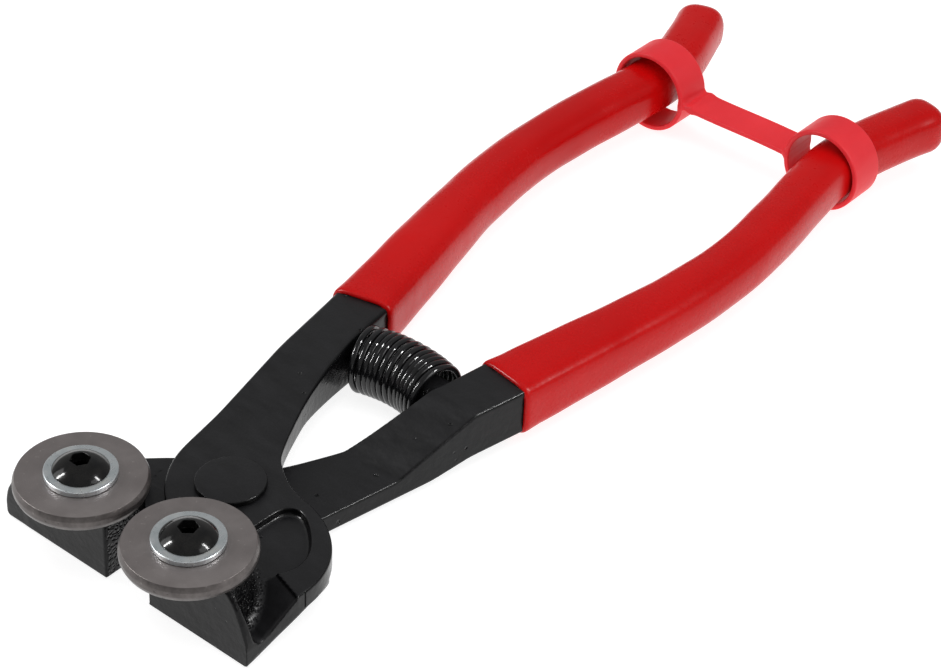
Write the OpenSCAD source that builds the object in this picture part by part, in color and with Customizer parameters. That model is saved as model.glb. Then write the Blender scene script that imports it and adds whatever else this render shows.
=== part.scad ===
// Wheeled glass nippers for mosaic work: two crossed forged levers on one
// rivet, each with a round carbide cutting wheel on its jaw, dipped grips,
// a return spring between the tangs and a vinyl strap that holds the
// handles closed for storage.
// Frame: origin on the pivot axis at the levers' underside, +Z up along the
// pivot, +Y from the jaws towards the handle ends.

/* [Cutting wheels] */
// Diameter over the cutting edge
wheel_d = 22; // [20:0.5:24]
// Thickness of the wheel
wheel_t = 2.7; // [2.4:0.1:3.2]
// Radial width of the ground bevel on each face
wheel_bevel = 0.4; // [0.3:0.1:0.8]
// Distance of each wheel's centre from the tool's centre line
wheel_x = 12; // [12:0.1:12.6]
// Distance of the wheels' centres in front of the pivot
wheel_y = 21.4; // [20.4:0.1:22]

/* [Fasteners] */
// Nominal diameter of the wheel screws
screw_d = 5; // [4:0.5:5]
// Diameter of the button head
head_d = 9.5; // [8.5:0.5:10]
// Height of the button head
head_h = 2.2; // [2:0.1:2.8]
// Hexagon socket size across flats
socket_af = 3; // [2.5:0.5:3]
// Washer outer diameter
washer_d = 12; // [11:0.5:13]
// Washer thickness
washer_t = 1; // [0.8:0.1:1.2]

/* [Levers] */
// Thickness of the lower lever's lap at the pivot
lap_t = 3.8; // [3.4:0.1:4]
// Height of the upper lever's top face at the pivot
plateau_h = 7.8; // [7.6:0.1:8.4]
// Height of the wheel seats above the underside
seat_h = 13.6; // [13:0.1:14]
// Height of the tangs' top face where the grips begin
tang_h = 10; // [9.6:0.1:10.2]
// Depth of the recess in the upper lever's jaw
pocket_d = 1.2; // [0.8:0.1:1.4]

/* [Pivot rivet] */
// Diameter of the rivet's shank
rivet_d = 7; // [6:0.5:8]
// Diameter of the rivet's flat head
rivet_head_d = 12; // [11:0.5:13]
// Height of the rivet's head
rivet_head_h = 1; // [0.8:0.1:1.2]

/* [Grips] */
// Grip width at the front
grip_w = 12.4; // [12.2:0.1:12.8]
// Grip height at the front
grip_h = 11; // [10.8:0.1:11.4]
// Wall thickness of the dipped sleeve
grip_wall = 0.9; // [0.8:0.1:1]
// Where the grips begin, behind the pivot
grip_start = 50; // [49:0.5:51]
// Where the handle ends are, behind the pivot
grip_end = 178; // [177:0.5:179]

/* [Spring] */
// Outer diameter of the return spring
spring_d = 12.4; // [12:0.1:12.8]
// Diameter of the spring's wire
wire_d = 1.2; // [1:0.1:1.3]
// Number of turns
spring_turns = 13; // [11:1:13]
// Distance of the spring behind the pivot
spring_y = 42; // [41.5:0.1:42.5]

/* [Strap] */
// Inner diameter of the strap's rings
ring_d = 14.8; // [14.8:0.1:15.2]
// Wall thickness of the rings and the web
ring_t = 1.1; // [0.9:0.1:1.5]
// Width of the strap along the handles
strap_w = 8; // [7:0.5:8]
// Distance of the right ring's centre from the centre line
ring_right = 16.3; // [16.2:0.1:16.4]
// Distance of the left ring's centre from the centre line
ring_left = 25.6; // [25.5:0.1:25.7]
// Distance of the strap's middle behind the pivot
strap_y = 151; // [150.5:0.5:152]

/* [Hidden] */
$fn = 96;
e = 0.01;
gap = 0.3;
mid_h = grip_h / 2;
under_upper = lap_t + gap;
seat_y = -wheel_y;
front_y = -24;
// How much further out the lower lever's jaw reaches than the upper's
jaw_flare = 1.5;

// Handle centre lines, as distance behind the pivot and offset outwards:
// the lower lever's on the right and the upper lever's on the left
lower_path = [[50, 16.4], [64, 18.5], [78, 20.6], [94, 22.5], [110, 22.9],
              [126, 21.1], [138, 19.1], [148, 17.9], [158, 18.3], [168, 20.2],
              [178, 22.8]];
upper_path = [[50, 16.4], [64, 19.7], [78, 23.1], [94, 26.6], [110, 28.6],
              [126, 28.6], [138, 27.7], [148, 27], [158, 27.6], [168, 30.6],
              [178, 34.3]];

// Offset of the handle's centre line at y, by a cubic through its path
function seg(q, y, i = 0) = (i >= len(q) - 2 || y < q[i + 1][0]) ? i : seg(q, y, i + 1);
function slope(q, i) = i == 0 ? (q[1][1] - q[0][1]) / (q[1][0] - q[0][0])
  : i == len(q) - 1 ? (q[i][1] - q[i - 1][1]) / (q[i][0] - q[i - 1][0])
  : (q[i + 1][1] - q[i - 1][1]) / (q[i + 1][0] - q[i - 1][0]);
function herm(q, y, i) = let (d = q[i + 1][0] - q[i][0], t = (y - q[i][0]) / d)
  (2 * pow(t, 3) - 3 * t * t + 1) * q[i][1] + (pow(t, 3) - 2 * t * t + t) * d * slope(q, i)
  + (3 * t * t - 2 * pow(t, 3)) * q[i + 1][1] + (pow(t, 3) - t * t) * d * slope(q, i + 1);
function line_x(q, y) = y < q[0][0] ? q[0][1] + (y - q[0][0]) * slope(q, 0) : herm(q, y, seg(q, y));

// Half width and half height of the grip along its length
function lerp(a, b, t) = a + (b - a) * max(0, min(1, t));
function half_w(y) = lerp(grip_w / 2, grip_w / 2 - 1, (y - 50) / 60);
function half_h(y) = lerp(grip_h / 2, grip_h / 2 - 0.3, (y - 50) / 60);
// Rounding of the closed end
function tip(y) = let (d = grip_end - y) d >= 5 ? 1 : sqrt(max(0.02, 1 - pow(1 - d / 5, 2)));

// Direction of the handle at y
function heading(q, y) = atan((line_x(q, y + 0.5) - line_x(q, y - 0.5)));

// One ring of the grip: a rounded rectangle square to the handle, squarer
// at the front
function ring_pts(q, y, hw, hh, n = 20) = let (a = heading(q, y), x0 = line_x(q, y))
  [for (k = [0:n - 1]) let (t = 360 * (k + 0.5) / n,
     c = cos(t), s = sin(t), p = 2 / lerp(4.6, 2.8, (y - 50) / 40),
     u = hw * sign(c) * pow(abs(c), p), w = hh * sign(s) * pow(abs(s), p))
     [x0 + u * cos(a), y - u * sin(a), mid_h + w]];

// Closed tube through a list of rings
module skin(rings) {
  n = len(rings[0]);
  m = len(rings);
  pts = [for (r = rings) for (p = r) p];
  faces = concat([[for (k = [0:n - 1]) k]],
    [[for (k = [0:n - 1]) (m - 1) * n + n - 1 - k]],
    [for (i = [0:m - 2]) for (k = [0:n - 1]) let (a = i * n + k, b = i * n + (k + 1) % n)
       [a, a + n, b]],
    [for (i = [0:m - 2]) for (k = [0:n - 1]) let (a = i * n + k, b = i * n + (k + 1) % n)
       [b, a + n, b + n]]);
  polyhedron(points = pts, faces = faces, convexity = 6);
}

stations = concat([for (y = [grip_start:3:grip_end - 6]) y],
                  [grip_end - 5, grip_end - 3.5, grip_end - 2, grip_end - 1, grip_end - 0.3, grip_end]);

module grip_body(q) {
  skin([for (y = stations) ring_pts(q, y, half_w(y) * tip(y), half_h(y) * tip(y))]);
}

// Plan outline of the steel bar inside the grip
bar_end = grip_end - 8;
function bar_hw(y) = half_w(y) - grip_wall;
module bar_plan(q, y0, y1, inset) {
  ys = concat([for (y = [y0:5:y1 - 2]) y], [y1]);
  polygon(concat([for (y = ys) [line_x(q, y) + bar_hw(y) - inset, y]],
                 [for (i = [len(ys) - 1:-1:0]) [line_x(q, ys[i]) - bar_hw(ys[i]) + inset, ys[i]]]));
}
bar_low = grip_wall + 0.2;
tang_end = grip_start + 1.5;
// Broad middle and narrower top and bottom, so that the corners stay
// inside the rounded sleeve
module bar(q, y0, y1) {
  translate([0, 0, 2.3]) linear_extrude(grip_h - 4.6) bar_plan(q, y0, y1, 0);
  translate([0, 0, bar_low]) linear_extrude(grip_h - 2 * bar_low) bar_plan(q, y0, y1, 1.6);
}

// Cavity that the dipped sleeve leaves for the bar and the tang's end
module grip_cavity(q) {
  bar(q, grip_start - 1, bar_end);
  translate([0, 0, bar_low]) linear_extrude(tang_h - bar_low)
    polygon([[10, 44.5], [11.3, tang_end], [22.1, tang_end], [20.7, 44.5]]);
}

module grip(q) {
  difference() {
    grip_body(q);
    grip_cavity(q);
  }
}

// Lever outline at the pivot: handle to +X, jaw to -X
module lap_plan() {
  polygon([[11.3, tang_end], [9.8, 41], [7.6, 32], [5, 23.5], [1.7, 16], [0, 12.6],
    [-1.4, 10.4], [-3.6, 9], [-6.5, 7.6], [-10, 6], [-13, 4], [-16, 1.4], [-19, -1.6], [-22, -4.6],
    [-25.2, -8], [-27.4, -12.5], [-28.2, -18], [-28.3, -24], [-4.5, -24], [-4.5, -14], [-3, -13], [0, -12.3], [3.5, -11],
    [7, -8.5], [9.5, -5.5], [11.3, -2.5], [12.6, 1], [13.8, 7.6], [22.1, tang_end]]);
}

// The upper lever's jaw plate is broader behind the wheel
module upper_plan() {
  polygon([[-11.3, tang_end], [-9.8, 41], [-7.6, 32], [-5, 23.5], [-1.7, 16], [0, 12.6],
    [1.4, 10.4], [3.6, 8.6], [6.5, 6.8], [10, 5.5], [13.8, 5], [17.5, 3.7], [21, 1.5], [24, -1.6],
    [26, -5.5], [26.8, -10], [26.6, -24], [4.5, -24], [4.5, -14], [3, -13], [0, -12.3], [-3.5, -11],
    [-7, -8.5], [-9.5, -5.5], [-11.3, -2.5], [-12.6, 1], [-13.8, 7.6], [-22.1, tang_end]]);
}

// Solid along X with a side profile in Y and Z
module side_profile(pts) {
  translate([-40, 0, 0]) rotate([90, 0, 90]) linear_extrude(80) polygon(pts);
}

// Jaw block under a wheel, jaw to +X: the front profile flares to the base;
// with hollow set, a trough behind it leaves a thin front web and the boss
trough_y = -17;
trough_z = 9.4;
trough_r = 6.4;
module jaw_block(back_y, flare, hollow) {
  intersection() {
    translate([0, -5, 0]) rotate([90, 0, 0]) linear_extrude(19)
      polygon([[4.5, 0], [26 + flare, 0], [26.8 + flare, 1], [26.8 + flare, 3], [26.2 + flare, 5.5],
        [25.2 + flare * 0.8, 8.3], [24 + flare * 0.5, 11], [23.2, 12.4], [22, seat_h], [4.5, seat_h]]);
    union() {
      // boss that carries the wheel
      translate([wheel_x, seat_y, 0]) cylinder(r = 10.2, h = seat_h);
      difference() {
        translate([4, front_y, 0]) cube([27, -front_y + back_y, seat_h]);
        if (hollow) {
          translate([0, trough_y, trough_z]) rotate([0, 90, 0]) cylinder(r = trough_r, h = 40);
          translate([0, trough_y - trough_r, trough_z]) cube([40, 20, 20]);
        }
        translate([0, trough_y, plateau_h]) cube([40, 20, 20]);
      }
    }
    translate([4, front_y, -1]) cube([27, -front_y + back_y, seat_h + 2]);
  }
}

// Room above the upper jaw's flank, which falls from the plateau's straight
// edge to the front corner behind a thin web
web_t = 1.3;
edge_y = -9.6;
module flank_cut() {
  intersection() {
    translate([17.4, edge_y, 0]) rotate([0, 0, -16.7]) translate([-20, 0, 0])
      rotate([90, 0, 90]) linear_extrude(60)
        polygon([[4, 8.9], [0, 7.2], [-2.5, 6.1], [-6, 4.5], [-10, 3.1], [-18, 1.9], [-18, 20], [4, 20]]);
    translate([0, front_y + web_t, 0]) cube([40, edge_y - front_y - web_t, 30]);
  }
}

// Wedge off the upper jaw's lower outer edge
function wedge_z(y) = 0.8 + 0.255 * (y + 23.4);
module wedge_end(y, z0) {
  translate([0, y, 0]) rotate([90, 0, 0]) linear_extrude(e)
    polygon([[26.8 - (z0 + 1) / 0.8, -1], [30, -1], [30, z0 + 2.56]]);
}
module flank_wedge() {
  hull() { wedge_end(-24.6, wedge_z(-24.6)); wedge_end(-8.5, wedge_z(-8.5)); }
  hull() { wedge_end(-8.51, wedge_z(-8.5)); wedge_end(-2, wedge_z(-8.5)); }
}

module wheel_hole() {
  translate([wheel_x, seat_y, 2]) cylinder(d = screw_d, h = seat_h);
}

module lower_lever() {
  color("#1b1b1d") difference() {
    union() {
      // lap at the pivot and the ramp up to the full height of the tang
      intersection() {
        linear_extrude(20) lap_plan();
        side_profile([[front_y, 0], [front_y, lap_t], [22.5, lap_t], [39, tang_h], [tang_end, tang_h],
          [tang_end, bar_low], [38, bar_low], [30, 0]]);
      }
      bar(lower_path, grip_start - 1, bar_end);
      mirror([1, 0, 0]) jaw_block(-11, jaw_flare, true);
      // shoulder between the block and the lap
      intersection() {
        linear_extrude(plateau_h) lap_plan();
        translate([-26.4, -14, 0]) cube([14, 8.5, plateau_h]);
      }
    }
    mirror([1, 0, 0]) wheel_hole();
    spring_peg(1);
    translate([0, 0, -1]) cylinder(d = rivet_d, h = 20);
    translate([0, 0, -1]) cylinder(d = rivet_d + 2.6, h = 2);
    // sweep of the upper lever's plate
    difference() {
      translate([0, 0, lap_t]) cylinder(r = 14.4, h = 10);
      translate([0, 18, 0]) cube([60, 40, 60], center = true);
    }
  }
}

module upper_lever() {
  color("#1f1f22") difference() {
    union() {
      difference() {
        union() {
          intersection() {
            linear_extrude(20) upper_plan();
            side_profile([[-14, under_upper], [-14, plateau_h], [14, plateau_h], [30, tang_h], [tang_end, tang_h],
              [tang_end, bar_low], [39, bar_low], [22.5, under_upper]]);
          }
          jaw_block(-10.6, 0, false);
          intersection() {
            linear_extrude(plateau_h) upper_plan();
            translate([4, -10.7, 0]) cube([24, 8, plateau_h]);
          }
        }
        flank_cut();
        flank_wedge();
      }
      // boss that carries the wheel
      intersection() {
        translate([wheel_x, seat_y, 0]) cylinder(r = 10.2, h = seat_h);
        translate([4.5, front_y, -1]) cube([27, 20, seat_h + 2]);
      }
      mirror([1, 0, 0]) bar(upper_path, grip_start - 1, bar_end);
    }
    // clearance over the lower lever's lap
    translate([0, 0, -1]) intersection() {
      cylinder(r = 15, h = under_upper + 1);
      translate([-6, -15, 0]) cube([30, 15, 20]);
    }
    wheel_hole();
    spring_peg(-1);
    translate([0, 0, -1]) cylinder(d = rivet_d + 0.1, h = 20);
    // D-shaped recess beside the pivot, open towards the jaw
    translate([0, 0, plateau_h - pocket_d]) linear_extrude(5)
      polygon([[10, -10.5], [10, -1], [10.6, 1.8], [12.4, 2.9], [14.5, 2.3], [17, 0.6], [19.6, -1.9],
        [21.3, -4.5], [22.1, -7.5], [22.2, -10.5]]);
  }
}

module pivot_rivet() {
  color("#232326") union() {
    cylinder(d = rivet_d + 2.6, h = 1);
    cylinder(d = rivet_d, h = plateau_h + 0.1 + rivet_head_h / 2);
    translate([0, 0, plateau_h + 0.1]) cylinder(d = rivet_head_d, h = rivet_head_h);
  }
}

// Wire of the spring, coiled about a line that bows gently rearwards, with
// its turns leaning outwards at both ends as the tangs do
coil_r = (spring_d - wire_d) / 2;
spring_half = 8.7;
bow = 1.6;
lean = 12;
function coil_mid(t) = [-spring_half + 2 * spring_half * t, spring_y + bow * (1 - pow(2 * t - 1, 2)), mid_h];
function coil_at(t, r, x, a) = let (c = coil_mid(t), g = lean * (1 - 2 * t))
  [c[0] + x * cos(g) - r * cos(a) * sin(g), c[1] + x * sin(g) + r * cos(a) * cos(g), c[2] + r * sin(a)];
function coil_ring(t, n = 6) = let (a = 360 * spring_turns * t)
  [for (k = [0:n - 1]) let (b = 360 * k / n)
     coil_at(t, coil_r + wire_d / 2 * cos(b), wire_d / 2 * sin(b), a)];

module return_spring() {
  steps = spring_turns * 14;
  color("#141416") skin([for (i = [0:steps]) coil_ring(i / steps)]);
}

// Peg inside the spring's end, seated in a blind hole in the tang; side is
// 1 for the lower lever's tang and -1 for the upper lever's
peg_d = 7;
module spring_peg(side) {
  color("#1b1b1d") translate([side * (spring_half - 3.2), spring_y + 0.4, mid_h])
    rotate([0, side * 90, 0]) cylinder(d = peg_d, h = 6.5);
}

module lower_grip() {
  color("#c8161a") grip(lower_path);
}

module upper_grip() {
  color("#c8161a") mirror([1, 0, 0]) grip(upper_path);
}

module wheel() {
  translate([wheel_x, seat_y, seat_h + 0.1]) difference() {
    rotate_extrude() polygon([[0, 0], [wheel_d / 2 - wheel_bevel, 0], [wheel_d / 2, wheel_t * 0.34],
      [wheel_d / 2, wheel_t * 0.66], [wheel_d / 2 - wheel_bevel, wheel_t], [0, wheel_t]]);
    translate([0, 0, -1]) cylinder(d = screw_d + 0.1, h = 10);
  }
}

module lower_wheel() {
  color("#77706d") mirror([1, 0, 0]) wheel();
}

module upper_wheel() {
  color("#77706d") wheel();
}

washer_z = seat_h + wheel_t + 0.2;
module washer() {
  color("#c9cdd3") translate([wheel_x, seat_y, washer_z]) difference() {
    cylinder(d = washer_d, h = washer_t);
    translate([0, 0, -1]) cylinder(d = screw_d + 0.3, h = 5);
  }
}

module lower_washer() {
  mirror([1, 0, 0]) washer();
}

module upper_washer() {
  washer();
}

// Button-head socket screw: dome over a short rim, hexagon socket
module screw() {
  r = head_d / 2;
  dome = (r * r + head_h * head_h) / (2 * head_h);
  color("#18181a") translate([wheel_x, seat_y, washer_z + washer_t]) difference() {
    union() {
      intersection() {
        translate([0, 0, head_h - dome]) sphere(r = dome);
        cylinder(r = r, h = head_h);
      }
      translate([0, 0, 2 - washer_z - washer_t]) cylinder(d = screw_d, h = washer_z + washer_t - 2 + 0.5);
    }
    translate([0, 0, head_h - 1.8]) cylinder(d = socket_af / cos(30), h = 5, $fn = 6);
  }
}

module lower_screw() {
  mirror([1, 0, 0]) screw();
}

module upper_screw() {
  screw();
}

// Two rings round the handles, joined by a flat web
module strap_tube(x, d, w) {
  translate([x, strap_y + w / 2, mid_h]) rotate([90, 0, 0]) cylinder(d = d, h = w);
}

module retaining_strap() {
  color("#e8485a") difference() {
    union() {
      strap_tube(ring_right, ring_d + 2 * ring_t, strap_w);
      strap_tube(-ring_left, ring_d + 2 * ring_t, strap_w);
      translate([-ring_left, strap_y - strap_w / 2, mid_h - ring_t / 2])
        cube([ring_left + ring_right, strap_w, ring_t]);
    }
    strap_tube(ring_right, ring_d, 2 * strap_w);
    strap_tube(-ring_left, ring_d, 2 * strap_w);
  }
}

lower_lever();
upper_lever();
pivot_rivet();
return_spring();
spring_peg(1);  // lower_spring_peg
spring_peg(-1);  // upper_spring_peg
lower_grip();
upper_grip();
lower_wheel();
upper_wheel();
lower_washer();
upper_washer();
lower_screw();
upper_screw();
retaining_strap();
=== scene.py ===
import math
import bpy
import numpy as np
from mathutils import Matrix, Vector


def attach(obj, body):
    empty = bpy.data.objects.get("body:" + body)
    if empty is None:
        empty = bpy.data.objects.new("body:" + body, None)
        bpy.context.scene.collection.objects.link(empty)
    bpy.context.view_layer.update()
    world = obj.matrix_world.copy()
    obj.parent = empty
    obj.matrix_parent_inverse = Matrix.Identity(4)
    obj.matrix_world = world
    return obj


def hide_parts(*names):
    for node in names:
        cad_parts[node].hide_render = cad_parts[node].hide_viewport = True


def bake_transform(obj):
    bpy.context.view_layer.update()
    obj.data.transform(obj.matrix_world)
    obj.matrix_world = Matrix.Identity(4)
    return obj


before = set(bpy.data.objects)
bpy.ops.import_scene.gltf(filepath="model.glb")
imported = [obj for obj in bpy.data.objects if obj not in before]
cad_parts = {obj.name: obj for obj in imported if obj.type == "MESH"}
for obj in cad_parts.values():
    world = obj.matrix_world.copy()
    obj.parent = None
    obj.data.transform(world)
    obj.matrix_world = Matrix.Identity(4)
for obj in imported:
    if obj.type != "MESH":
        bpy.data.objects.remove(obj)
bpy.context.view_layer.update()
MM = 0.001


# ---------------------------------------------------------------- shape tools
def rmax(a, b, r):
    """Meeting of two solids with a rounded edge of radius r."""
    return np.minimum(np.maximum(a, b), -r) + np.hypot(np.maximum(a + r, 0), np.maximum(b + r, 0))


def rmin(a, b, r):
    """Union of two solids with a fillet of radius r."""
    return -rmax(-a, -b, r)


def poly(x, y, pts):
    """Signed distance to a closed outline."""
    P = [(p[0], p[1]) for p in pts]
    d = (x - P[0][0]) ** 2 + (y - P[0][1]) ** 2
    s = np.ones_like(d)
    n = len(P)
    for i in range(n):
        ax, ay = P[i]
        bx, by = P[i - 1]
        ex, ey = bx - ax, by - ay
        wx, wy = x - ax, y - ay
        t = np.clip((wx * ex + wy * ey) / (ex * ex + ey * ey), 0, 1)
        d = np.minimum(d, (wx - ex * t) ** 2 + (wy - ey * t) ** 2)
        c1, c2, c3 = (wy >= 0), (y < by), (ex * wy > ey * wx)
        flip = (c1 & c2 & c3) | (~c1 & ~c2 & ~c3)
        s = np.where(flip, -s, s)
    return s * np.sqrt(d)


def soft(pts, rounds=3, most=2.6):
    """Outline with its corners worn round; a third value keeps a corner sharp."""
    P = [(p[0], p[1], len(p) > 2) for p in pts]
    for _ in range(rounds):
        Q = []
        n = len(P)
        for i, (x, y, keep) in enumerate(P):
            if keep:
                Q.append((x, y, True))
                continue
            for (u, v, k) in (P[i - 1], P[(i + 1) % n]):
                ln = math.hypot(u - x, v - y) or 1.0
                f = min(0.25, most / ln)
                Q.append((x + (u - x) * f, y + (v - y) * f, False))
        P = Q
        most *= 0.5
    return P


def profile(pts, blur):
    """A height along Y with its creases softened."""
    ys = np.arange(pts[0][0] - 10, pts[-1][0] + 10, 0.1)
    z = np.interp(ys, [p[0] for p in pts], [p[1] for p in pts])
    k = np.exp(-0.5 * (np.arange(-40, 41) * 0.1 / blur) ** 2)
    zs = np.convolve(np.pad(z, 40, mode="edge"), k / k.sum(), mode="valid")
    return lambda y: np.interp(y, ys, zs)


def nets(fn, lo, hi, step):
    """Quad mesh of fn = 0 inside a box, each point then moved onto the surface."""
    n = [int(math.ceil((b - a) / step)) + 1 for a, b in zip(lo, hi)]
    ax = [lo[i] + step * np.arange(n[i]) for i in range(3)]
    F = np.asarray(fn(ax[0][:, None, None], ax[1][None, :, None], ax[2][None, None, :]))
    F = np.broadcast_to(F, n).astype(np.float64)
    F = np.where(F == 0, 1e-9, F)
    cells = (n[0] - 1, n[1] - 1, n[2] - 1)
    size = cells[0] * cells[1] * cells[2]
    cnt = np.zeros(size)
    acc = [np.zeros(size) for _ in range(3)]
    edges = []
    for a in range(3):
        b, c = (a + 1) % 3, (a + 2) % 3
        sl0, sl1 = [slice(None)] * 3, [slice(None)] * 3
        sl0[a], sl1[a] = slice(0, -1), slice(1, None)
        A, B = F[tuple(sl0)], F[tuple(sl1)]
        idx = np.argwhere((A < 0) != (B < 0))
        va = A[tuple(idx.T)]
        vb = B[tuple(idx.T)]
        t = va / (va - vb)
        pos = idx.astype(float)
        pos[:, a] += t
        keep = (idx[:, b] > 0) & (idx[:, c] > 0) & (idx[:, b] < cells[b]) & (idx[:, c] < cells[c])
        quad = []
        for ob, oc in ((0, 0), (1, 0), (1, 1), (0, 1)):
            cell = idx.copy()
            cell[:, b] -= ob
            cell[:, c] -= oc
            ok = (cell[:, b] >= 0) & (cell[:, c] >= 0) & (cell[:, b] < cells[b]) & (cell[:, c] < cells[c])
            flat = (cell[:, 0] * cells[1] + cell[:, 1]) * cells[2] + cell[:, 2]
            f = flat[ok]
            cnt += np.bincount(f, minlength=size)
            for k in range(3):
                acc[k] += np.bincount(f, weights=pos[ok][:, k], minlength=size)
            quad.append(flat)
        q = np.stack(quad, 1)[keep]
        inside = va[keep] < 0
        q[~inside] = q[~inside][:, ::-1]
        edges.append(q)
    used = np.flatnonzero(cnt)
    V = np.stack([acc[k][used] / cnt[used] for k in range(3)], 1) * step + np.array(lo)
    number = np.full(size, -1)
    number[used] = np.arange(len(used))
    quads = number[np.concatenate(edges)]
    h = 0.02

    def f3(P):
        return np.asarray(fn(P[:, 0], P[:, 1], P[:, 2]), float)

    def grad(P):
        G = np.zeros_like(P)
        for k in range(3):
            D = np.zeros(3)
            D[k] = h
            G[:, k] = (f3(P + D) - f3(P - D)) / (2 * h)
        return G

    for _ in range(3):
        G = grad(V)
        m = np.maximum((G * G).sum(1), 0.2)
        s = np.clip(f3(V) / m, -0.6 * step, 0.6 * step)
        V = V - G * s[:, None]
    G = grad(V)
    N = G / np.maximum(np.linalg.norm(G, axis=1), 1e-9)[:, None]
    return V, quads, N


def make(name, V, F, mat, normals=None, sharp=None, subsurf=0):
    me = bpy.data.meshes.new(name)
    me.from_pydata((np.asarray(V) * MM).tolist(), [], [tuple(int(i) for i in f) for f in F])
    me.validate()
    me.polygons.foreach_set("use_smooth", [True] * len(me.polygons))
    if sharp is not None:
        me.set_sharp_from_angle(angle=math.radians(sharp))
    if normals is not None and len(me.vertices) == len(normals):
        me.normals_split_custom_set_from_vertices(np.asarray(normals).tolist())
    me.update()
    ob = bpy.data.objects.new(name, me)
    bpy.context.scene.collection.objects.link(ob)
    me.materials.append(mat)
    if subsurf:
        s = ob.modifiers.new("smooth", "SUBSURF")
        s.levels = s.render_levels = subsurf
    return ob


def joined(parts):
    """Several shells as one list of points and faces."""
    V, F, N, o = [], [], [], 0
    for p in parts:
        V.append(np.asarray(p[0], float))
        F += [tuple(int(i) + o for i in f) for f in p[1]]
        if p[2] is not None:
            N.append(np.asarray(p[2], float))
        o += len(p[0])
    return np.concatenate(V), F, (np.concatenate(N) if len(N) == len(parts) else None)


def tube(rings, cap0=True, cap1=True):
    """Shell through a list of equal rings of points."""
    n = len(rings[0])
    V = np.concatenate(rings)
    F = []
    for i in range(len(rings) - 1):
        a, b = i * n, (i + 1) * n
        for k in range(n):
            k1 = (k + 1) % n
            F.append((a + k, a + k1, b + k1, b + k))
    if cap0:
        F.append(tuple(range(n - 1, -1, -1)))
    if cap1:
        o = (len(rings) - 1) * n
        F.append(tuple(range(o, o + n)))
    return V, F


def lathe(prof, n=128, centre=(0, 0, 0)):
    """Closed turned shell: prof is a loop of (radius, height), or ends on the axis."""
    prof = [tuple(p) for p in prof]
    V, F = [], []
    on = [i for i, p in enumerate(prof) if p[0] < 1e-9]
    idx = []
    for r, z in prof:
        if r < 1e-9:
            idx.append([len(V)] * n)
            V.append((centre[0], centre[1], centre[2] + z))
        else:
            idx.append(list(range(len(V), len(V) + n)))
            for k in range(n):
                a = 2 * math.pi * k / n
                V.append((centre[0] + r * math.cos(a), centre[1] + r * math.sin(a), centre[2] + z))
    m = len(prof)
    for i in range(m if not on else m - 1):
        A, B = idx[i], idx[(i + 1) % m]
        for k in range(n):
            k1 = (k + 1) % n
            q = [A[k], A[k1], B[k1], B[k]]
            q = list(dict.fromkeys(q))
            if len(q) > 2:
                F.append(tuple(q))
    return np.array(V, float), F


def fillet_path(pts, radii, steps=4):
    """Turned outline with each corner rounded by its own small radius."""
    out = []
    n = len(pts)
    for i, (p, r) in enumerate(zip(pts, radii)):
        if r <= 0 or i in (0, n - 1):
            out.append(p)
            continue
        p = np.array(p, float)
        a = np.array(pts[i - 1], float) - p
        b = np.array(pts[i + 1], float) - p
        la, lb = np.linalg.norm(a), np.linalg.norm(b)
        c = min(r, la * 0.45, lb * 0.45)
        A, B = p + a / la * c, p + b / lb * c
        for s in range(steps + 1):
            t = s / steps
            out.append(tuple((1 - t) ** 2 * A + 2 * t * (1 - t) * p + t * t * B))
    return out


# ------------------------------------------------------------ measured outline
PATHS = {1: [(50, 16.4), (64, 18.5), (78, 20.6), (94, 22.5), (110, 22.9), (126, 21.1), (138, 19.1),
             (148, 17.9), (158, 18.3), (168, 20.2), (178, 22.8)],
         -1: [(50, 16.4), (64, 19.7), (78, 23.1), (94, 26.6), (110, 28.6), (126, 28.6), (138, 27.7),
              (148, 27.0), (158, 27.6), (168, 30.6), (178, 34.3)]}
MID = 5.5
FRONT_Y, WX, WY, SEAT = -24.0, 12.0, -21.4, 13.6
LAP, UNDER, PLATEAU = 3.8, 4.1, 7.8


def line_x(y, side):
    q = PATHS[side]

    def slope(i):
        if i == 0:
            return (q[1][1] - q[0][1]) / (q[1][0] - q[0][0])
        if i == len(q) - 1:
            return (q[i][1] - q[i - 1][1]) / (q[i][0] - q[i - 1][0])
        return (q[i + 1][1] - q[i - 1][1]) / (q[i + 1][0] - q[i - 1][0])

    if y < q[0][0]:
        return q[0][1] + (y - q[0][0]) * slope(0)
    i = 0
    while i < len(q) - 2 and y >= q[i + 1][0]:
        i += 1
    d = q[i + 1][0] - q[i][0]
    t = (y - q[i][0]) / d
    return ((2 * t ** 3 - 3 * t * t + 1) * q[i][1] + (t ** 3 - 2 * t * t + t) * d * slope(i)
            + (3 * t * t - 2 * t ** 3) * q[i + 1][1] + (t ** 3 - t * t) * d * slope(i + 1))


def lerp(a, b, t):
    return a + (b - a) * max(0.0, min(1.0, t))


def half_w(y):
    return lerp(6.15, 5.2, (y - 50) / 60)


def half_h(y):
    return lerp(5.4, 5.15, (y - 50) / 60)


def ring(y, hw, hh, p, n, side):
    """One ring square to the handle; side is +1 right, -1 left."""
    a = math.atan(line_x(y + 0.5, side) - line_x(y - 0.5, side))
    t = 2 * math.pi * (np.arange(n) + 0.5) / n
    c, s = np.cos(t), np.sin(t)
    u = hw * np.sign(c) * np.abs(c) ** (2 / p)
    w = hh * np.sign(s) * np.abs(s) ** (2 / p)
    pts = np.stack([side * (line_x(y, side) + u * math.cos(a)), y - u * math.sin(a), MID + w], 1)
    return pts if side < 0 else pts[::-1]


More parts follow.
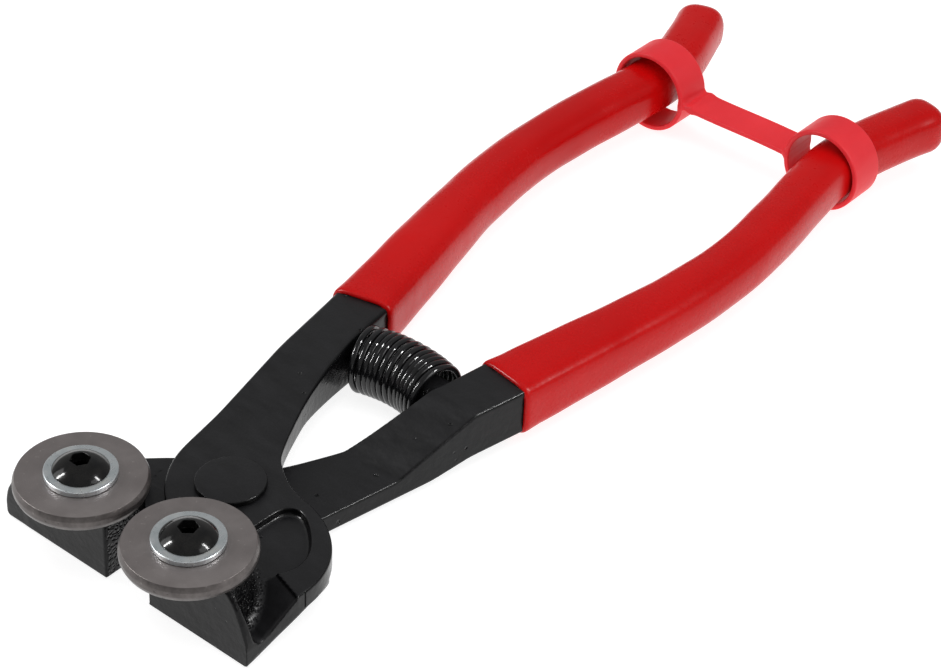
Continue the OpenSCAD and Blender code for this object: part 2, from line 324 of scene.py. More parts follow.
LOWER_PLAN = soft([(11.3, 51.5, 1), (9.8, 41), (7.6, 32), (5, 23.5), (1.7, 16), (0, 12.6), (-1.4, 10.4),
                   (-3.6, 9), (-6.5, 7.6), (-10, 6), (-13, 4), (-16, 1.4), (-19, -1.6), (-22, -4.6),
                   (-25.2, -8), (-27.4, -12.5), (-28.2, -18), (-28.3, -24, 1), (-4.5, -24, 1), (-4.5, -14, 1), (-3, -13),
                   (0, -12.3), (3.5, -11), (7, -8.5), (9.5, -5.5), (11.3, -2.5), (12.6, 1), (13.8, 7.6),
                   (22.1, 51.5, 1)])
UPPER_PLAN = soft([(-11.3, 51.5, 1), (-9.8, 41), (-7.6, 32), (-5, 23.5), (-1.7, 16), (0, 12.6), (1.4, 10.4),
                   (3.6, 8.6), (6.5, 6.8), (10, 5.5), (13.8, 5), (17.5, 3.7), (21, 1.5), (24, -1.6),
                   (26, -5.5), (26.8, -10), (26.6, -24, 1), (4.5, -24, 1), (4.5, -14, 1), (3, -13),
                   (0, -12.3), (-3.5, -11), (-7, -8.5), (-9.5, -5.5), (-11.3, -2.5), (-12.6, 1), (-13.8, 7.6),
                   (-22.1, 51.5, 1)])
POCKET = soft([(10, -13, 1), (10, -1), (10.6, 1.8), (12.4, 2.9), (14.5, 2.3), (17, 0.6), (19.6, -1.9),
               (21.2, -4.5), (21.7, -7.2), (21.0, -9.6), (19.6, -11.2), (19.0, -13, 1)])
WEB = [(0, 0), (26.2, 0), (26.8, 0.7), (26.9, 2.8), (26.4, 5), (25.3, 8.3), (24.2, 10.9), (23.4, 12.3),
       (22.2, SEAT), (0, SEAT)]
upper_top = profile([(-40, PLATEAU), (12, PLATEAU), (31, 10), (60, 10)], 1.6)
upper_bot = profile([(-40, UNDER), (22.5, UNDER), (39, 1.1), (60, 1.1)], 0.9)
lower_top = profile([(-40, LAP), (22.5, LAP), (39, 10), (60, 10)], 0.35)
lower_bot = profile([(-40, 0), (30, 0), (38, 1.1), (60, 1.1)], 0.8)


def jaw(x, y, z, plan, back, flare):
    """Forged block under a wheel, jaw towards +X: thin front web, trough, boss and plateau in one casting."""
    low = np.maximum(plan, z - PLATEAU)
    high = np.maximum(np.maximum(plan, z - SEAT), y + 19.5)
    lean = 0.24 * np.maximum(z - 9.4, 0)
    trough = np.hypot(y + 17.05 - lean * 0.5, np.maximum(9.5 - z, 0)) - 6.35
    g = rmax(np.minimum(low, high), -trough, 0.5)
    g = rmin(g, np.maximum(np.hypot(x - WX, y - WY) - 9.9, z - SEAT), 2.6)
    out = poly(x - flare * np.clip((14.0 - z) / 8.0, 0, 1), z, WEB)
    out = out - 2.2 * np.clip((y + 15.0) / 4.0, 0, 1)
    g = rmax(g, out, 0.42)
    g = rmax(g, plan, 0.45)
    g = rmax(g, FRONT_Y - y, 0.38)
    g = rmax(g, 4.5 - x, 0.5)
    g = rmax(g, z - SEAT, 0.35)
    g = rmax(g, y - back, 0.35)
    return rmax(g, -z, 0.45)


FLANK = profile([(-18, 1.9), (-10, 3.0), (-6, 4.45), (-2.5, 6.25), (-0.2, 7.38), (0.3, 8.8), (4, 12)], 0.16)


def upper_jaw(x, y, z, plan):
    """The upper lever's jaw: plateau, falling flank, thin front web and boss in one casting."""
    edge = y - (-9.6 - 0.30 * np.maximum(x - 17.4, -1.0))
    low = (z - FLANK(edge)) * 0.88
    web = y + 22.85 - 0.10 * (SEAT - z)
    boss = np.hypot(x - WX, y - WY) - 9.6
    g = rmin(rmin(low, web, 2.2), boss, 2.6)
    g = np.maximum(g, plan)
    out = poly(x, z, WEB) - 2.2 * np.clip((y + 20.0) / 6.0, 0, 1)
    g = rmax(g, out, 0.42)
    g = rmax(g, plan, 0.45 + 0.55 * np.clip(-edge / 4.0, 0, 1))
    wedge = (0.8 + 0.255 * (np.clip(y, -26, -8.5) + 23.4) - 0.8 * (26.8 - x) - z) * 0.76
    g = rmax(g, wedge, 0.5)
    g = rmax(g, FRONT_Y - y, 0.38)
    g = rmax(g, 4.5 - x, 0.5)
    g = rmax(g, z - SEAT, 0.35)
    g = rmax(g, y + 2.7, 0.35)
    g = rmax(g, -z, 0.45)
    cap = np.where(edge < 0, (z - PLATEAU + 4 * edge) / 3, z - PLATEAU)
    return rmax(g, cap, 0.25)


def upper_sdf(x, y, z):
    plan = poly(x, y, UPPER_PLAN)
    rt = np.interp(y, [12, 32, 44], [0.45, 0.9, 1.1])
    plate = rmax(rmax(plan, z - upper_top(y), rt), upper_bot(y) - z, 0.5)
    cut = (-9.6 - 0.30 * np.maximum(x - 17.4, -1.0)) - y
    plate = np.where(x > 4.0, np.maximum(plate, cut + 1.6), plate)
    g = upper_jaw(x, y, z, plan)
    body = np.minimum(plate, g)
    body = rmax(body, -np.maximum(np.hypot(x, y) - 15.0, z - UNDER), 0.25)
    pocket = rmax(poly(x, y, POCKET), (PLATEAU - 1.35) - z, 0.7)
    body = rmax(body, -pocket, 0.4)
    body = rmax(body, 3.55 - np.hypot(x, y), 0.1)
    return np.maximum(body, y - 51.5)


def lower_sdf(x, y, z):
    plan = poly(x, y, LOWER_PLAN)
    rt = np.interp(y, [12, 32, 44], [0.4, 0.5, 0.7])
    lap = rmax(rmax(plan, z - lower_top(y), rt), lower_bot(y) - z, 0.55)
    lap = np.where(x < -4.0, np.maximum(lap, -13.0 - y), lap)
    g = jaw(-x, y, z, plan, -5.5, 1.5)
    body = rmin(lap, g, 0.5)
    swept = np.maximum(np.hypot(x, y) - 14.4, LAP - z)
    body = rmax(body, -np.where(y < 0, swept, 1e3 * np.ones_like(swept)), 0.25)
    body = np.maximum(body, 3.52 - np.hypot(x, y))
    return np.maximum(body, y - 51.5)


# ------------------------------------------------------------------ materials
class Mat:
    """Small helper that wires a procedural material."""

    def __init__(self, name):
        self.m = bpy.data.materials.new(name)
        self.m.use_nodes = True
        self.t = self.m.node_tree
        self.b = self.t.nodes["Principled BSDF"]
        self.co = self.t.nodes.new("ShaderNodeTexCoord")

    def set(self, **kw):
        for k, v in kw.items():
            self.b.inputs[k.replace("_", " ")].default_value = v
        return self

    def n(self, kind, **kw):
        node = self.t.nodes.new("ShaderNode" + kind)
        for k, v in kw.items():
            setattr(node, k, v)
        return node

    def link(self, a, b):
        self.t.links.new(a, b)

    def noise(self, scale, detail=3, rough=0.55, stretch=None, dist=0.0):
        nd = self.n("TexNoise")
        nd.inputs["Scale"].default_value = scale
        nd.inputs["Detail"].default_value = detail
        nd.inputs["Roughness"].default_value = rough
        nd.inputs["Distortion"].default_value = dist
        self._vec(nd, stretch)
        return nd.outputs["Fac"]

    def voronoi(self, scale, stretch=None, feature="F1", rnd=1.0):
        nd = self.n("TexVoronoi", feature=feature)
        nd.inputs["Scale"].default_value = scale
        nd.inputs["Randomness"].default_value = rnd
        self._vec(nd, stretch)
        return nd.outputs["Distance"]

    def _vec(self, nd, stretch):
        if stretch is None:
            self.link(self.co.outputs["Object"], nd.inputs["Vector"])
        else:
            mp = self.n("Mapping")
            mp.inputs["Scale"].default_value = stretch[:3]
            if len(stretch) > 3:
                mp.inputs["Rotation"].default_value = (0, 0, stretch[3])
            self.link(self.co.outputs["Object"], mp.inputs["Vector"])
            self.link(mp.outputs["Vector"], nd.inputs["Vector"])

    def ramp(self, src, stops, interp="LINEAR"):
        r = self.n("ValToRGB")
        r.color_ramp.interpolation = interp
        el = r.color_ramp.elements
        while len(el) < len(stops):
            el.new(0.5)
        for e, (pos, col) in zip(el, stops):
            e.position = pos
            e.color = (*col, 1) if isinstance(col, tuple) else (col, col, col, 1)
        self.link(src, r.inputs["Fac"])
        return r.outputs["Color"]

    def rng(self, src, a, b, c, d, smooth=False):
        r = self.n("MapRange")
        if smooth:
            r.interpolation_type = "SMOOTHSTEP"
        for i, v in zip(("From Min", "From Max", "To Min", "To Max"), (a, b, c, d)):
            r.inputs[i].default_value = v
        self.link(src, r.inputs["Value"])
        return r.outputs["Result"]

    def math(self, op, a, b=None):
        r = self.n("Math", operation=op)
        for i, v in enumerate((a, b)):
            if v is None:
                continue
            if isinstance(v, (int, float)):
                r.inputs[i].default_value = v
            else:
                self.link(v, r.inputs[i])
        return r.outputs["Value"]

    def mix(self, fac, a, b):
        r = self.n("Mix", data_type="RGBA")
        if isinstance(fac, (int, float)):
            r.inputs[0].default_value = fac
        else:
            self.link(fac, r.inputs[0])
        for sock, v in ((r.inputs[6], a), (r.inputs[7], b)):
            if isinstance(v, tuple):
                sock.default_value = (*v, 1)
            else:
                self.link(v, sock)
        return r.outputs[2]

    def bump(self, height, dist, strength=1.0, chain=None):
        b = self.n("Bump")
        b.inputs["Distance"].default_value = dist
        b.inputs["Strength"].default_value = strength
        self.link(height, b.inputs["Height"])
        if chain is not None:
            self.link(chain, b.inputs["Normal"])
        return b.outputs["Normal"]

    def up(self):
        """How far a face looks up, from its own normal."""
        g = self.n("NewGeometry")
        s = self.n("SeparateXYZ")
        self.link(g.outputs["Normal"], s.inputs["Vector"])
        return s.outputs["Z"]

    def to(self, src, socket):
        self.link(src, self.b.inputs[socket])


def enamel(name="lever_enamel", gloss=0.0):
    m = Mat(name).set(Metallic=0.0)
    # up marks upward faces; below they get a lighter base colour, which is painted light on the tops of the same
    # black enamel
    up = m.rng(m.up(), 0.75, 0.97, 0.0, 1.0, True)
    m.to(m.rng(up, 0.0, 1.0, 0.17, 0.34), "Specular IOR Level")
    cloud = m.noise(90, 3, 0.6)
    fine = m.noise(1500, 2, 0.5)
    grain = m.noise(420, 4, 0.65, (0.35, 1.0, 1.0, 0.7))
    col = m.ramp(cloud, [(0.3, (0.0022, 0.0022, 0.0025)), (0.7, (0.0045, 0.0045, 0.005))])
    # painted light: a lighter colour for upward faces, with real grain variation in it
    top = m.ramp(grain, [(0.3, (0.0055, 0.0055, 0.0062)), (0.72, (0.0095, 0.0095, 0.0108))])
    # painted reflection: sloped faces such as ramps and flanks get a lighter colour for the sheen they catch
    nz = m.up()
    painted_slope_sheen = m.math("MULTIPLY", m.rng(nz, 0.6, 0.85, 0.0, 1.0, True), m.rng(nz, 0.93, 0.985, 1.0, 0.0, True))
    col = m.mix(painted_slope_sheen, col, (0.0115, 0.0113, 0.0118))
    # upward faces take the painted-light colour, the other faces the darker enamel tone
    m.to(m.mix(up, col, top), "Base Color")
    r_side = m.rng(cloud, 0.3, 0.7, 0.16 - gloss, 0.26 - gloss)
    r_top = m.rng(grain, 0.3, 0.7, 0.36, 0.52)
    rr = m.n("Mix", data_type="FLOAT")
    m.link(up, rr.inputs[0])
    m.link(r_side, rr.inputs[2])
    m.link(r_top, rr.inputs[3])
    m.to(rr.outputs[0], "Roughness")
    pits = m.rng(m.voronoi(260), 0.0, 0.11, 0.0, 1.0, True)
    where = m.rng(m.noise(60, 1, 0.5), 0.49, 0.57, 0.0, 1.0, True)
    pit = m.math("MULTIPLY", m.math("SUBTRACT", 1.0, pits), where)
    peel = m.noise(520, 2, 0.5)
    n1 = m.bump(peel, 0.00016, 0.45)
    n2 = m.bump(grain, 0.00010, 0.32, n1)
    n3 = m.bump(fine, 0.00004, 0.4, n2)
    n4 = m.bump(m.math("SUBTRACT", 1.0, pit), 0.0007, 1.0, n3)
    # rough casting left round the bosses under the wheels
    xyz = m.n("SeparateXYZ")
    m.link(m.co.outputs["Object"], xyz.inputs["Vector"])
    dx = m.math("SUBTRACT", m.math("ABSOLUTE", xyz.outputs["X"]), 0.012)
    dy = m.math("ADD", xyz.outputs["Y"], 0.0214)
    rad = m.math("SQRT", m.math("ADD", m.math("MULTIPLY", dx, dx), m.math("MULTIPLY", dy, dy)))
    near = m.rng(rad, 0.0101, 0.0122, 1.0, 0.0, True)
    inner = m.rng(xyz.outputs["Y"], -0.0236, -0.0230, 0.0, 1.0, True)
    cast = m.math("MULTIPLY", m.math("MULTIPLY", near, inner), m.rng(m.voronoi(1500), 0.1, 0.6, 0.0, 1.0, True))
    n5 = m.bump(cast, 0.0004, 0.8, n4)
    m.to(n5, "Normal")
    return m.m


def wire_enamel():
    m = Mat("spring_wire")
    m.b.inputs["Specular IOR Level"].default_value = 0.5
    a = m.noise(700, 3, 0.6)
    m.to(m.ramp(a, [(0.3, (0.004, 0.004, 0.0045)), (0.75, (0.010, 0.010, 0.011))]), "Base Color")
    m.to(m.rng(m.noise(300, 2), 0.3, 0.7, 0.07, 0.15), "Roughness")
    m.to(m.bump(a, 0.00012, 0.5), "Normal")
    return m.m


def vinyl(name, deep, lit, rough, coat, peel_d, sss=0.0, scuffs=True):
    m = Mat(name)
    m.b.inputs["Specular IOR Level"].default_value = 0.15
    m.b.inputs["Coat Weight"].default_value = coat
    m.b.inputs["Coat Roughness"].default_value = 0.12
    if sss:
        m.b.inputs["Subsurface Weight"].default_value = sss
        m.b.inputs["Subsurface Radius"].default_value = (0.004, 0.0008, 0.0006)
        m.b.inputs["Subsurface Scale"].default_value = 0.5
    broad = m.noise(38, 3, 0.55)
    streak = m.noise(120, 3, 0.6, (1.0, 0.18, 1.0))
    c = m.ramp(broad, [(0.28, deep), (0.74, lit)])
    c2 = m.mix(m.rng(streak, 0.45, 0.75, 0.0, 0.30), c, tuple(0.82 * v for v in deep))
    m.to(c2, "Base Color")
    spot = m.noise(900, 3, 0.6)
    r1 = m.rng(m.math("ADD", m.math("MULTIPLY", spot, 0.4), m.math("MULTIPLY", broad, 0.6)), 0.3, 0.7, rough - 0.05, rough + 0.09)
    m.to(r1, "Roughness")
    n1 = m.bump(broad, 0.0012, 0.35)
    n2 = m.bump(m.noise(240, 2, 0.5), 0.00025, 0.35, n1)
    n3 = m.bump(spot, peel_d, 0.4, n2)
    if scuffs:
        line = m.voronoi(140, (1.0, 0.10, 1.0, 0.35), "DISTANCE_TO_EDGE")
        mark = m.math("MULTIPLY", m.rng(line, 0.0, 0.02, 1.0, 0.0, True), m.rng(m.noise(45, 1), 0.62, 0.72, 0.0, 1.0, True))
        n3 = m.bump(m.math("SUBTRACT", 1.0, mark), 0.00010, 0.7, n3)
    m.to(n3, "Normal")
    return m.m


def carbide():
    m = Mat("carbide").set(Metallic=0.78)
    cloud = m.noise(170, 4, 0.6)
    dust = m.noise(1400, 3, 0.6)
    # distance from the wheel's own axis, from its object coordinates
    flat = m.n("VectorMath", operation="MULTIPLY")
    flat.inputs[1].default_value = (1, 1, 0)
    m.link(m.co.outputs["Object"], flat.inputs[0])
    ln = m.n("VectorMath", operation="LENGTH")
    m.link(flat.outputs["Vector"], ln.inputs[0])
    rad = ln.outputs["Value"]
    rim = m.rng(rad, 0.01052, 0.01064, 0.0, 1.0, True)
    lines = m.noise(1.0, 4, 0.7)
    lines_node = lines.node
    comb = m.n("CombineXYZ")
    m.link(m.math("MULTIPLY", rad, 5200.0), comb.inputs["X"])
    m.link(comb.outputs["Vector"], lines_node.inputs["Vector"])
    face = m.ramp(cloud, [(0.25, (0.180, 0.160, 0.157)), (0.5, (0.212, 0.190, 0.186)), (0.78, (0.258, 0.234, 0.229))])
    face = m.mix(m.rng(lines, 0.35, 0.7, 0.0, 0.22), face, (0.33, 0.31, 0.30))
    face = m.mix(m.rng(dust, 0.66, 0.76, 0.0, 0.5), face, (0.42, 0.40, 0.38))
    edge = m.ramp(m.noise(420, 4, 0.65), [(0.3, (0.070, 0.062, 0.060)), (0.62, (0.125, 0.112, 0.108)), (0.80, (0.36, 0.34, 0.33))])
    m.to(m.mix(rim, face, edge), "Base Color")
    rr = m.math("ADD", m.rng(cloud, 0.3, 0.7, 0.40, 0.50), m.math("MULTIPLY", rim, -0.10))
    m.to(m.math("ADD", rr, m.math("MULTIPLY", dust, 0.05)), "Roughness")
    chips = m.rng(m.voronoi(900), 0.0, 0.25, 0.0, 1.0, True)
    chipmask = m.math("MULTIPLY", m.math("SUBTRACT", 1.0, chips), m.math("MULTIPLY", rim, m.rng(m.noise(260, 2), 0.5, 0.62, 0.0, 1.0, True)))
    n1 = m.bump(lines, 0.00002, 0.5)
    n2 = m.bump(dust, 0.00003, 0.35, n1)
    n3 = m.bump(m.math("SUBTRACT", 1.0, chipmask), 0.0002, 0.9, n2)
    m.to(n3, "Normal")
    return m.m


def zinc():
    m = Mat("zinc").set(Metallic=1.0)
    a = m.noise(330, 4, 0.6)
    b = m.noise(1600, 2, 0.6)
    m.to(m.ramp(a, [(0.28, (0.56, 0.62, 0.64)), (0.55, (0.72, 0.76, 0.78)), (0.8, (0.83, 0.84, 0.80))]), "Base Color")
    m.to(m.rng(b, 0.3, 0.7, 0.24, 0.40), "Roughness")
    m.to(m.bump(b, 0.00003, 0.4, m.bump(a, 0.00008, 0.35)), "Normal")
    return m.m


def oxide():
    m = Mat("black_oxide")
    m.b.inputs["Specular IOR Level"].default_value = 0.30
    a = m.noise(500, 4, 0.62)
    m.to(m.ramp(a, [(0.3, (0.004, 0.004, 0.0045)), (0.7, (0.011, 0.0105, 0.010))]), "Base Color")
    m.to(m.rng(m.noise(900, 3), 0.3, 0.7, 0.09, 0.17), "Roughness")
    m.to(m.bump(a, 0.00004, 0.4), "Normal")
    return m.m


M_ENAMEL = enamel()
M_WIRE = wire_enamel()
M_GRIP = vinyl("grip_vinyl", (0.49, 0.0016, 0.0018), (0.58, 0.0028, 0.0030), 0.25, 0.03, 0.00004, 0.05, False)
M_STRAP = vinyl("strap_vinyl", (0.74, 0.028, 0.038), (0.84, 0.042, 0.054), 0.38, 0.0, 0.00006, 0.25, False)
M_CARB = carbide()
M_ZINC = zinc()
M_OX = oxide()

# --------------------------------------------------------------------- levers
STEP = 0.30


def bar(side):
    rings = []
    ys = np.concatenate([np.arange(50.5, 167, 2.5), [168.0]])
    for y in ys:
        rings.append(ring(y, half_w(y) - 1.0, half_h(y) - 1.2, 4.0, 24, side))
    V, F = tube(rings)
    return V, F, None


def lever(name, fn, side, lo, hi):
    V, Q, N = nets(fn, lo, hi, STEP)
    BV, BF, _ = bar(side)
    me_v, me_f, _ = joined([(V, Q, None), (BV, BF, None)])
    BN = BV - np.array([[side * line_x(min(max(p[1], 50), 178), side), p[1], MID] for p in BV])
    BN /= np.maximum(np.linalg.norm(BN, axis=1), 1e-9)[:, None]
    ob = make(name, me_v, me_f, M_ENAMEL, np.concatenate([N, BN]))
    return ob


upper = lever("upper_lever_forging", upper_sdf, -1, (-23.5, -25.2, -1.2), (28.5, 52.7, 14.5))
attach(upper, "upper_body")
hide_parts("upper_lever")
lower = lever("lower_lever_forging", lower_sdf, 1, (-29.8, -25.2, -1.2), (23.5, 52.7, 14.5))
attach(lower, "lower_body")
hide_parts("lower_lever")

# ---------------------------------------------------------------------- rivet
rv = fillet_path([(0, 0), (4.8, 0), (4.8, 1), (3.5, 1), (3.5, 7.92), (6, 7.92), (6, 8.85), (3, 8.98), (0, 9.0)],
                 [0, 0.15, 0.1, 0.05, 0.1, 0.12, 0.32, 0.6, 0])
V, F = lathe(rv[::-1], 96)
rivet = make("pivot_rivet_head", V, F, M_ENAMEL, sharp=50)
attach(rivet, "lower_body")
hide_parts("pivot_rivet")


# ---------------------------------------------------------------------- grips
def grip(name, side):
    n = 64
    rings = []

    def p_at(y):
        return lerp(4.4, 2.7, (y - 50) / 40)

    y0 = 50.0
    # outer skin: a rolled front lip, the sleeve and the closed end
    for dy, g in ((0.0, -0.62), (0.06, -0.30), (0.25, -0.08), (0.6, 0.02), (1.2, 0.04), (2.2, 0.0), (4.0, -0.05)):
        y = y0 + dy
        rings.append(ring(y, half_w(y) + g, half_h(y) + g, p_at(y), n, side))
    for y in np.arange(56, 173.5, 1.5):
        wob = 0.06 * math.sin(y * 0.21 + side) + 0.04 * math.sin(y * 0.47)
        rings.append(ring(y, half_w(y) - 0.04 + wob * 0.6, half_h(y) - 0.04 + wob * 0.5, p_at(y), n, side))
    for u in (0.25, 0.45, 0.62, 0.76, 0.87, 0.94, 0.98, 1.0):
        y = 173.5 + 4.5 * u
        f = (1 - u ** 3.0) ** (1 / 3.0) if u < 1 else 0.12
        f = max(f, 0.12)
        rings.append(ring(y, half_w(y) * f, half_h(y) * f, p_at(y), n, side))
    V, F = tube(rings, cap0=False, cap1=True)
    # inner wall from the lip back to the end of the steel
    inner = [ring(y0 + dy, half_w(y0) - 0.62 - g, half_h(y0) - 0.62 - g, 6.0, n, side)
             for dy, g in ((0.04, 0.16), (0.3, 0.22), (2.6, 0.24))]
    inner.append(ring(y0 + 2.8, 2.0, 2.0, 3.0, n, side))
    V2 = np.concatenate(inner)
    o = len(V)
    F2 = [tuple(range(o + 3 * n, o + 4 * n))[::-1]] if False else []
    allV = np.concatenate([V, V2])

    def band(a, b):
        for k in range(n):
            k1 = (k + 1) % n
            F2.append((b + k, b + k1, a + k1, a + k))

    for k in range(n):
        k1 = (k + 1) % n
        F2.append((o + k, o + k1, k1, k))
    for i in range(3):
        for k in range(n):
            k1 = (k + 1) % n
            a, b = o + i * n, o + (i + 1) * n
            F2.append((b + k, b + k1, a + k1, a + k))
    F2.append(tuple(range(o + 3 * n, o + 4 * n)))
    return make(name, allV, F + F2, M_GRIP, sharp=60)


for name, side, body, node in (("lower_grip_sleeve", 1, "lower_body", "lower_grip"),
                               ("upper_grip_sleeve", -1, "upper_body", "upper_grip")):
    g = grip(name, side)
    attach(g, body)
    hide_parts(node)

# --------------------------------------------------------------------- spring
TURNS, COIL_R, WIRE = 13, 5.6, 0.6
SPRING_Y, BOW, HALF, LEAN = 42.0, 1.6, 8.7, math.radians(12)


def spring():
    per, n = ((48, 14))
    rings = []
    steps = TURNS * per
    P, C, A = [], [], []
    for i in range(steps + 1):
        t = i / steps
        # the spacing along the coil swings gently with a small sine, wider at the ends and the middle
        u = t + 0.018 * math.sin(4 * math.pi * t)
        a = 2 * math.pi * TURNS * t
        g = LEAN * (1 - 2 * u)
        c = np.array([-HALF + 2 * HALF * u, SPRING_Y + BOW * (1 - (2 * u - 1) ** 2), MID])
        rad = np.array([-math.cos(a) * math.sin(g), math.cos(a) * math.cos(g), math.sin(a)])
        P.append(c + COIL_R * rad)
        A.append(rad)
    P, A = np.array(P), np.array(A)
    T = np.gradient(P, axis=0)
    T /= np.linalg.norm(T, axis=1)[:, None]
    for p, t, r in zip(P, T, A):
        r = r - t * (r @ t)
        r /= np.linalg.norm(r)
        b = np.cross(t, r)
        th = 2 * math.pi * np.arange(n) / n
        rings.append(p + WIRE * (np.cos(th)[:, None] * r + np.sin(th)[:, None] * b))
    V, F = tube(rings)
    return make("return_spring_wire", V, F, M_WIRE, sharp=60)


sp = spring()
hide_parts("return_spring")
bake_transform(sp)


# ----------------------------------------------------------- wheels and screws
def wheel(name, sx, body, node):
    h, r, bv = 2.7, 11.0, 0.4
    prof = fillet_path([(2.55, 0), (r - bv, 0), (r, 0.92), (r, 1.78), (r - bv, h), (2.55, h)],
                       [0, 0.10, 0.12, 0.12, 0.09, 0], 3)
    V, F = lathe(prof, 192)
    ob = make(name, V, F, M_CARB, sharp=20)
    ob.location = (sx * WX * MM, WY * MM, (SEAT + 0.1) * MM)
    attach(ob, body)
    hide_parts(node)
    return ob


def washer(name, sx, body, node):
    z = SEAT + 2.9
    prof = fillet_path([(2.65, 0), (6.0, 0), (6.0, 1.0), (2.65, 1.0), (2.65, 0)], [0, 0.12, 0.22, 0.15, 0], 4)
    V, F = lathe(prof[:-1], 128)
    ob = make(name, V, F, M_ZINC, sharp=35)
    ob.location = (sx * WX * MM, WY * MM, z * MM)
    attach(ob, body)
    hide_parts(node)
    return ob


def screw_sdf(turn):
    R, H = 4.75, 2.2
    D = (R * R + H * H) / (2 * H)

    def f(x, y, z):
        r = np.hypot(x, y)
        dome = np.sqrt(x * x + y * y + (z - (H - D)) ** 2) - D
        d = rmax(dome, r - R, 0.22)
        d = rmax(d, -z, 0.12)
        c, s = math.cos(turn), math.sin(turn)
        u, v = x * c + y * s, y * c - x * s
        u, v = np.abs(u), np.abs(v)
        hexa = np.maximum(v * 0.8660254 + u * 0.5, u * 0 + v * 0 + np.maximum(u, 0.5 * u + 0.8660254 * v)) - 1.5
        cut = np.maximum(hexa, (H - 1.8) - z)
        cone = r - (1.72 + (z - (H - 0.05)) * 1.0)
        cut = np.minimum(cut, np.maximum(cone, (H - 0.45) - z))
        d = rmax(d, -cut, 0.07)
        return d
    return f


def screw(name, sx, body, node, turn):
    z = SEAT + 3.9
    step = 0.11
    V, Q, N = nets(screw_sdf(turn), (-5.1, -5.1, -0.4), (5.1, 5.1, 3.2), step)
    sh = fillet_path([(0, 2 - z), (2.1, 2 - z), (2.2, 2.3 - z), (2.2, 0.4), (0, 0.5)], [0, 0.1, 0.1, 0.1, 0], 2)
    SV, SF = lathe(sh[::-1], 48)
    SN = SV * np.array([1, 1, 0.0])
    ln = np.linalg.norm(SN, axis=1)
    SN[ln < 1e-6] = (0, 0, 1)
    SN /= np.maximum(np.linalg.norm(SN, axis=1), 1e-9)[:, None]
    A, B, C = joined([(V, Q, N), (SV, SF, SN)])
    ob = make(name, A, B, M_OX, C)
    ob.location = (sx * WX * MM, WY * MM, z * MM)
    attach(ob, body)
    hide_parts(node)
    return ob


wheel("lower_wheel_disc", -1, "lower_wheel_body", "lower_wheel")
wheel("upper_wheel_disc", 1, "upper_wheel_body", "upper_wheel")
washer("lower_washer_plate", -1, "lower_body", "lower_washer")
washer("upper_washer_plate", 1, "upper_body", "upper_washer")
screw("lower_button_screw", -1, "lower_body", "lower_screw", 0.5)
screw("upper_button_screw", 1, "upper_body", "upper_screw", 0.2)


# ---------------------------------------------------------------------- strap
def strap_sdf(x, y, z):
    XR, XL, RI, RT, SY, HW = 16.3, -25.6, 7.4, 1.1, 151.0, 4.0
    yy = y - SY
    rr = np.hypot(x - XR, z - MID)
    rl = np.hypot(x - XL, z - MID)
    r = np.minimum(rr, rl)
    wall = np.maximum(r - (RI + RT), RI - r)
    rings = rmax(wall, np.abs(yy) - HW, 0.3)
    crease = 0.35 * np.exp(-((x + 15.2) / 0.9) ** 2)
    sag = 0.25 * np.sin((x + 5) * 0.22)
    web = rmax(np.abs(z - MID - sag * 0.5) - RT / 2 - crease, np.abs(yy) - HW + 0.15, 0.35)
    web = np.maximum(web, np.maximum(x - (XR - RI - 0.2), (XL + RI + 0.2) - x))
    d = rmin(rings, web, 0.8)
    return rmax(d, RI - r, 0.25)


V, Q, N = nets(strap_sdf, (-34.9, 146.2, -3.8), (25.6, 155.8, 14.8), 0.26)
strap = make("retaining_strap_band", V, Q, M_STRAP, N)
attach(strap, "strap_body")
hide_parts("retaining_strap")

# pegs keep their own solid
for node in ("lower_spring_peg", "upper_spring_peg"):
    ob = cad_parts[node]
    ob.data.materials.clear()
    ob.data.materials.append(M_ENAMEL)

# ------------------------------------------------------------ floor and lights
slope_f = -3.0 / 175.0
fm = Mat("studio_floor")
fm.set(Roughness=0.9)
fm.b.inputs["Specular IOR Level"].default_value = 0.1
fm.to(fm.ramp(fm.noise(3, 2), [(0.3, (0.38, 0.38, 0.38)), (0.7, (0.40, 0.40, 0.40))]), "Base Color")
fm.b.inputs["Emission Color"].default_value = (1.0, 1.0, 1.0, 1)
fm.b.inputs["Emission Strength"].default_value = 0.86
S = 6.0
z_at = lambda y: (slope_f * (y * 1000 + 24)) * MM - 0.0002
fme = bpy.data.meshes.new("studio_floor")
fme.from_pydata([(-S, -S, z_at(-S)), (S, -S, z_at(-S)), (S, S, z_at(S)), (-S, S, z_at(S))], [], [(0, 1, 2, 3)])
floor = bpy.data.objects.new("studio_floor", fme)
bpy.context.scene.collection.objects.link(floor)
fme.materials.append(fm.m)

world = bpy.data.worlds.new("studio")
bpy.context.scene.world = world
world.use_nodes = True
bg = world.node_tree.nodes["Background"]
bg.inputs["Color"].default_value = (1.0, 1.0, 1.0, 1)
bg.inputs["Strength"].default_value = 0.31
TARGET = Vector((0.0, 0.05, 0.005))


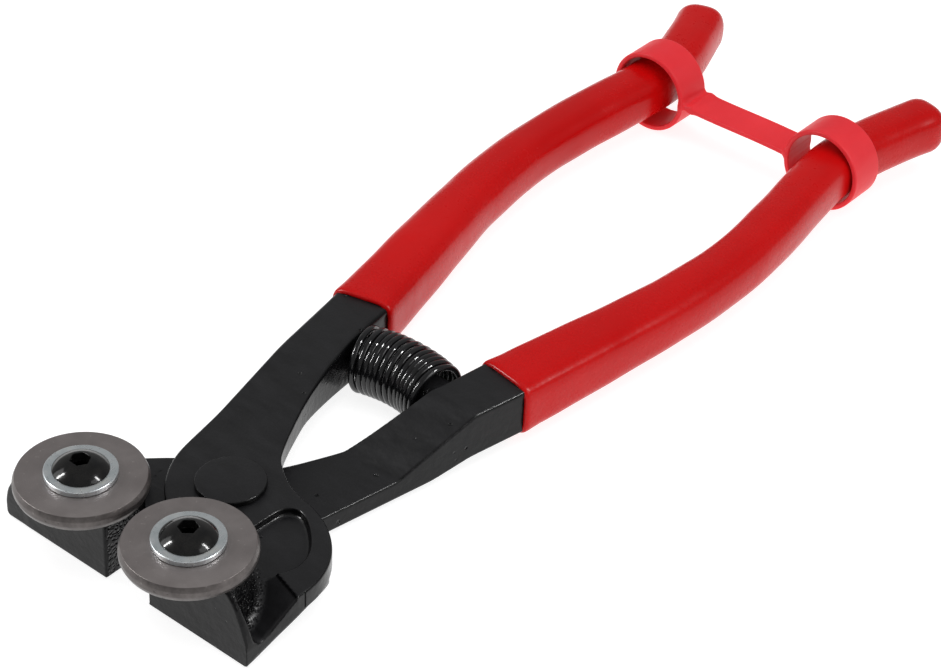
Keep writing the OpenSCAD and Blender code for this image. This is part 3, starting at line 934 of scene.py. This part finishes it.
def area(name, pos, w, h, power, target=TARGET, spread=None):
    L = bpy.data.lights.new(name, "AREA")
    L.shape = "RECTANGLE"
    L.size, L.size_y = w, h
    L.energy = power
    ob = bpy.data.objects.new(name, L)
    bpy.context.scene.collection.objects.link(ob)
    ob.location = pos
    ob.rotation_euler = (Vector(target) - Vector(pos)).to_track_quat("-Z", "Y").to_euler()
    return ob


def quiet(ob, glossy=True, diffuse=True):
    ob.visible_glossy = glossy
    ob.visible_diffuse = diffuse
    return ob


quiet(area("overhead", (0.0, 0.05, 1.1), 1.3, 1.3, 8.8), glossy=False)
area("back_card", (-0.52, 0.68, 0.62), 1.1, 0.8, 0.18)
area("left_box", (-0.85, -0.45, 0.42), 0.35, 0.7, 1.6)
area("right_box", (0.75, 0.15, 0.40), 0.30, 0.7, 1.3)
quiet(area("left_strip", (-0.60, -0.46, 0.48), 0.04, 0.40, 6.0), diffuse=False)
quiet(area("right_strip", (0.62, 0.36, 0.58), 0.04, 0.40, 4.4), diffuse=False)

# --------------------------------------------------------------------- camera
AZ, EL, ROLL = -0.673887, 0.645531, 0.045157
d = Vector((math.sin(AZ) * math.cos(EL), math.cos(AZ) * math.cos(EL), -math.sin(EL)))
r = Vector((math.cos(AZ), -math.sin(AZ), 0))
u = r.cross(d)
r2 = r * math.cos(ROLL) + u * math.sin(ROLL)
u2 = -r * math.sin(ROLL) + u * math.cos(ROLL)
cam = bpy.data.cameras.new("camera")
co = bpy.data.objects.new("camera", cam)
bpy.context.scene.collection.objects.link(co)
M = Matrix.Identity(4)
for i in range(3):
    M[i][0], M[i][1], M[i][2] = r2[i], u2[i], -d[i]
M[0][3], M[1][3], M[2][3] = 0.239756, -0.239717, 0.294016
co.matrix_world = M
cam.sensor_width = 36.0
cam.lens = 2702.7 * 36.0 / 941.0
cam.shift_x = (470.5 - 469.0) / 941.0
cam.shift_y = (336.0 - 334.5) / 941.0
cam.clip_start = 0.01
bpy.context.scene.camera = co
vs = bpy.context.scene.view_settings
vs.view_transform = "Standard"
vs.look = "None"
